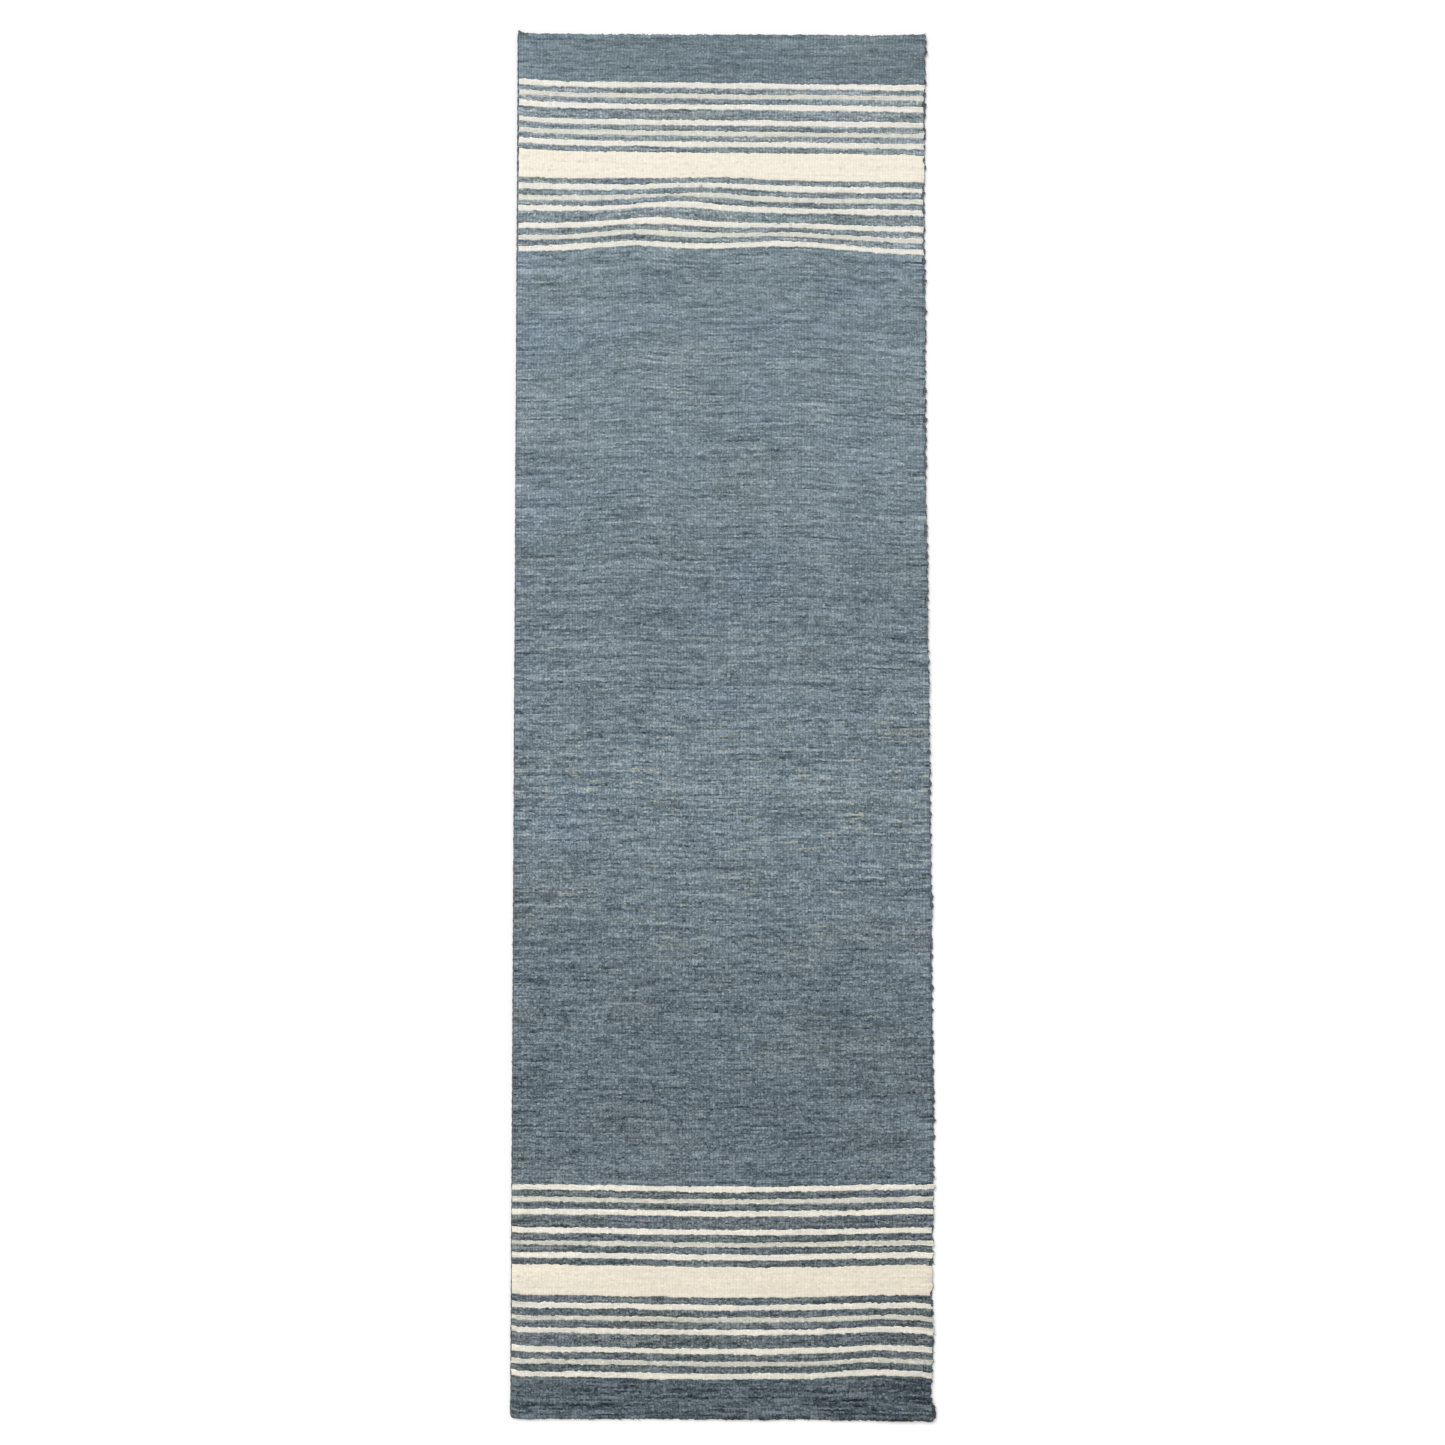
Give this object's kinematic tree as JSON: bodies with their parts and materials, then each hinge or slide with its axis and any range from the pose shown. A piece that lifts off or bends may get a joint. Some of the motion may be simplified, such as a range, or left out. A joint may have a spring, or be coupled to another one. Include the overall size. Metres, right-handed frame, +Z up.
{
  "type": "runner rug",
  "caption": "Long narrow wool runner rug with a streaked plain field, a group of cross stripes and a plain band at each end, wrapped side cords and turned-under ends.",
  "frame": {"origin": "middle of the underside, on the floor the rug lies on", "axes": "+X across the rug, +Y along it towards the far end, +Z up through the pile"},
  "size_m": [0.914, 3.0524, 0.013],
  "materials": {
    "field": "matt cut wool pile, blue-grey with weft-wise streaks",
    "end_band": "matt cut wool pile, darker blue-grey",
    "ivory": "matt cut wool pile, ivory",
    "pale": "matt cut wool pile, pale grey-green",
    "thin_blue": "matt cut wool pile, slate blue",
    "medium_blue": "matt cut wool pile, slate blue",
    "broad_ivory": "matt cut wool pile, warm ivory",
    "wrap": "twisted blue-grey wool yarn, overcast",
    "ground": "undyed cotton ground, woven",
    "hem": "undyed cotton ground, woven and turned under",
    "cord": "undyed cotton cord"
  },
  "bodies": {
    "root": {"far_broad_ivory": "broad_ivory", "far_end_band": "end_band", "far_hem": "hem", "far_ivory_1": "ivory", "far_ivory_2": "ivory", "far_ivory_3": "ivory", "far_ivory_4": "ivory", "far_ivory_5": "ivory", "far_ivory_6": "ivory", "far_ivory_7": "ivory", "far_ivory_8": "ivory", "far_medium_blue_1": "medium_blue", "far_medium_blue_2": "medium_blue", "far_pale_1": "pale", "far_pale_2": "pale", "far_pale_3": "pale", "far_pale_4": "pale", "far_thin_blue_1": "thin_blue", "far_thin_blue_10": "thin_blue", "far_thin_blue_2": "thin_blue", "far_thin_blue_3": "thin_blue", "far_thin_blue_4": "thin_blue", "far_thin_blue_5": "thin_blue", "far_thin_blue_6": "thin_blue", "far_thin_blue_7": "thin_blue", "far_thin_blue_8": "thin_blue", "far_thin_blue_9": "thin_blue", "field_pile": "field", "foundation": "ground", "left_overcasting": "wrap", "left_side_cord": "cord", "near_broad_ivory": "broad_ivory", "near_end_band": "end_band", "near_hem": "hem", "near_ivory_1": "ivory", "near_ivory_2": "ivory", "near_ivory_3": "ivory", "near_ivory_4": "ivory", "near_ivory_5": "ivory", "near_ivory_6": "ivory", "near_ivory_7": "ivory", "near_ivory_8": "ivory", "near_medium_blue_1": "medium_blue", "near_medium_blue_2": "medium_blue", "near_pale_1": "pale", "near_pale_2": "pale", "near_pale_3": "pale", "near_pale_4": "pale", "near_thin_blue_1": "thin_blue", "near_thin_blue_10": "thin_blue", "near_thin_blue_2": "thin_blue", "near_thin_blue_3": "thin_blue", "near_thin_blue_4": "thin_blue", "near_thin_blue_5": "thin_blue", "near_thin_blue_6": "thin_blue", "near_thin_blue_7": "thin_blue", "near_thin_blue_8": "thin_blue", "near_thin_blue_9": "thin_blue", "right_overcasting": "wrap", "right_side_cord": "cord"}
  },
  "joints": []
}
